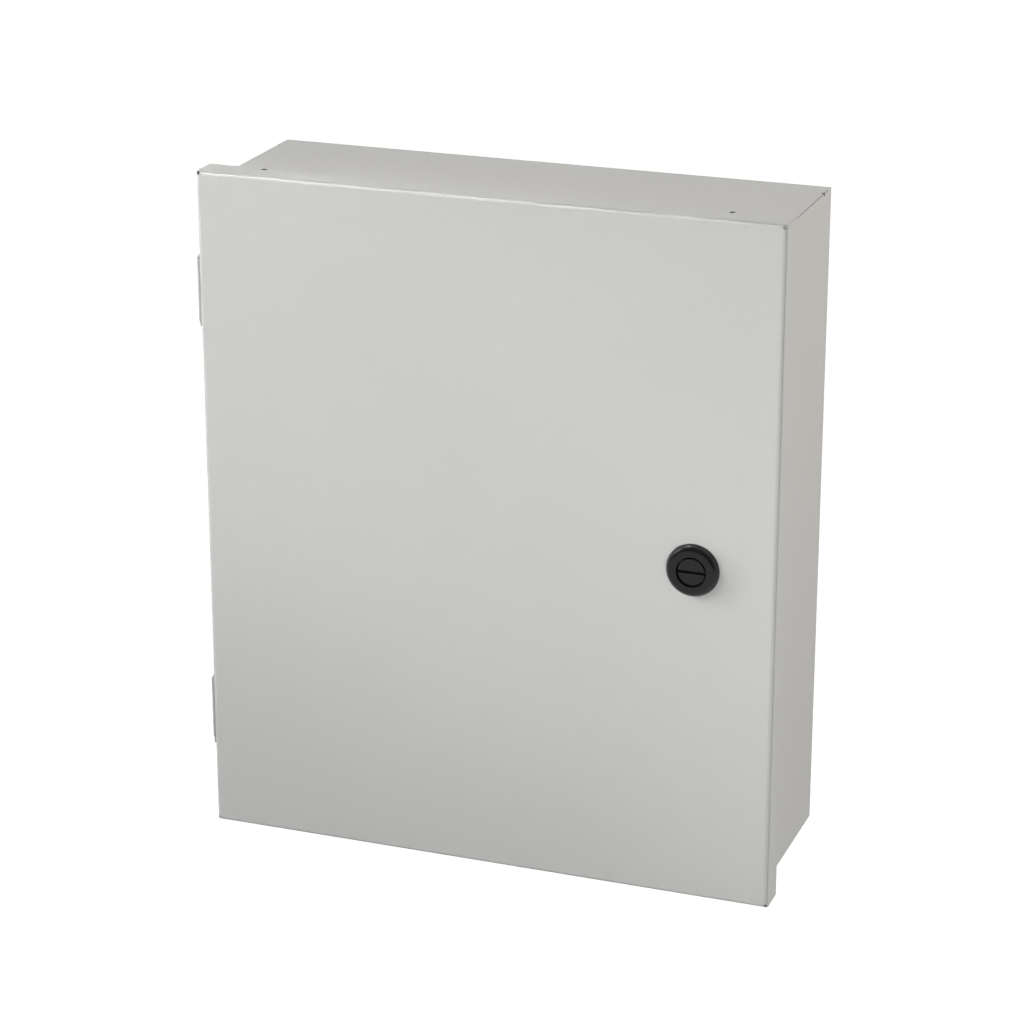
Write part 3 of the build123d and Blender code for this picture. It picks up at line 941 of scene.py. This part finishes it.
def set_camera():
    """The camera stands where the photograph was taken from."""
    camera = bpy.data.objects.new("camera", bpy.data.cameras.new("camera"))
    bpy.context.scene.collection.objects.link(camera)
    camera.data.lens = CAMERA_LENS
    camera.data.sensor_width = 36.0
    camera.data.clip_end = 100.0
    view = Vector((
        -sin(CAMERA_AZIMUTH) * cos(CAMERA_ELEVATION),
        cos(CAMERA_AZIMUTH) * cos(CAMERA_ELEVATION),
        -sin(CAMERA_ELEVATION),
    ))
    camera.location = CAMERA_PLACE
    camera.rotation_euler = view.to_track_quat("-Z", "Y").to_euler()
    bpy.context.scene.camera = camera


def add_lamp(
    name, azimuth, elevation, distance, size, power, colour,
    aim=(0, -0.1, 0), spread=180, gleam=False, only_on=(),
):
    """A square soft box, by its angle to the right of the door's front and above it.

    Its sizes and its aim are in metres. A gleam only shows mirrored, the others only spread.
    """
    azimuth, elevation, aim = radians(azimuth), radians(elevation), Vector(aim)
    place = aim + Vector((
        sin(azimuth) * cos(elevation) * distance,
        -cos(azimuth) * cos(elevation) * distance,
        sin(elevation) * distance,
    ))
    lamp = bpy.data.lights.new(name, "AREA")
    lamp.shape = "SQUARE"
    lamp.size = size
    lamp.energy = power
    lamp.color = colour
    lamp.spread = radians(spread)
    stand = bpy.data.objects.new(name, lamp)
    bpy.context.scene.collection.objects.link(stand)
    stand.location = place
    stand.rotation_euler = (aim - place).to_track_quat("-Z", "Y").to_euler()
    stand.visible_diffuse = not gleam
    stand.visible_glossy = gleam
    stand.visible_camera = False
    if only_on:
        lit = bpy.data.collections.new(name + "_pieces")
        for piece in only_on:
            lit.objects.link(piece)
        stand.light_linking.receiver_collection = lit


def add_mix(tree, share, first, second):
    """A number between two others."""
    mix = tree.nodes.new("ShaderNodeMix")
    feed(tree, share, mix.inputs["Factor"])
    feed(tree, first, mix.inputs["A"])
    feed(tree, second, mix.inputs["B"])
    return mix.outputs["Result"]


def by_ray(tree, seen, mirrored, spread):
    """One value where the camera looks, one for reflections and one for spread light."""
    path = tree.nodes.new("ShaderNodeLightPath")
    straight = add_math(
        tree, "MAXIMUM", path.outputs["Is Camera Ray"], path.outputs["Is Transmission Ray"]
    )
    rest = add_mix(tree, path.outputs["Is Glossy Ray"], spread, mirrored)
    return add_mix(tree, straight, rest, seen)


def set_world():
    """White to the camera, dark in reflections from the photographer's side, and a soft fill."""
    bpy.context.scene.view_settings.view_transform = "Standard"
    world = bpy.data.worlds.new("studio")
    bpy.context.scene.world = world
    world.use_nodes = True
    tree = world.node_tree
    place = tree.nodes.new("ShaderNodeTexCoord")
    parts = tree.nodes.new("ShaderNodeSeparateXYZ")
    tree.links.new(place.outputs["Generated"], parts.inputs[0])
    depth = tree.nodes.new("ShaderNodeMapRange")
    depth.interpolation_type = "SMOOTHSTEP"
    tree.links.new(parts.outputs["Y"], depth.inputs["Value"])
    for socket, value in zip(("From Min", "From Max", "To Min", "To Max"), ROOM_MIRRORED):
        depth.inputs[socket].default_value = value
    room = tree.nodes["Background"]
    room.inputs["Color"].default_value = (1, 1, 1, 1)
    tree.links.new(by_ray(tree, 1.0, depth.outputs["Result"], FILL_LIGHT), room.inputs["Strength"])


def lay_floor():
    """A pale floor that shows white and keeps the object's shadow."""
    bpy.ops.mesh.primitive_plane_add(size=FLOOR_SIZE, location=(0, 0, -FLOOR_DROP))
    floor = bpy.context.active_object
    floor.name = "floor"
    material, tree, shader = new_material("pale_floor")
    shader.inputs["Base Color"].default_value = (0.5, 0.5, 0.5, 1)
    shader.inputs["Roughness"].default_value = 1.0
    shader.inputs["Specular IOR Level"].default_value = 0.0
    shader.inputs["Emission Color"].default_value = (1, 1, 1, 1)
    glow = by_ray(tree, FLOOR_GLOW, FLOOR_MIRRORED, 0.0)
    tree.links.new(glow, shader.inputs["Emission Strength"])
    floor.data.materials.append(material)


set_camera()
set_world()
lay_floor()
add_lamp("side_box", 135, 15, 1.5, 0.9, 7.4, (1.06, 1.0, 0.92))
add_lamp("high_side_box", 135, 50, 1.5, 0.9, 4.3, (1.03, 1.0, 0.94))
add_lamp("left_box", -80, 0, 0.8, 0.5, 2.92, (1.03, 1.0, 1.02), (0.1, -0.1, 0.12))
add_lamp("near_left_box", -35, 40, 0.8, 0.5, 2.26, (0.99, 1.0, 1.0), (-0.1, -0.1, -0.02))
add_lamp("near_right_box", 30, 0, 0.8, 0.5, 3.9, (0.98, 1.0, 0.99), (0.1, -0.1, 0.0))
add_lamp("left_beam", -75, 20, 1.5, 0.3, 0.09, (1.02, 1.0, 0.95), (0.15, -0.1, 0.0), 10)
add_lamp("upper_beam", -50, 20, 1.5, 0.3, 0.066, (1.02, 1.0, 1.04), (0.15, -0.1, 0.1), 20)
add_lamp("lower_beam", 0, 0, 1.5, 0.3, 0.013, (1.0, 1.0, 1.0), (-0.15, -0.1, -0.1), 10)
add_lamp("side_beam", 120, 10, 1.5, 0.3, 0.02, (1.09, 1.0, 0.9), (0.15, -0.05, 0.1), 15)
add_lamp("top_box", 180, 75, 1.5, 0.9, 1.3, (1.0, 1.0, 0.99))
add_lamp("latch_gleam", -84, 30, 1.5, 0.7, 3.0, (0.9, 1.0, 1.05), gleam=True)
add_lamp(
    "edge_gleam", -60, 61, 1.0, 0.4, 0.6, (1.0, 1.0, 1.0), (-0.1, -0.105, 0.183), 24,
    gleam=True, only_on=(door,),
)
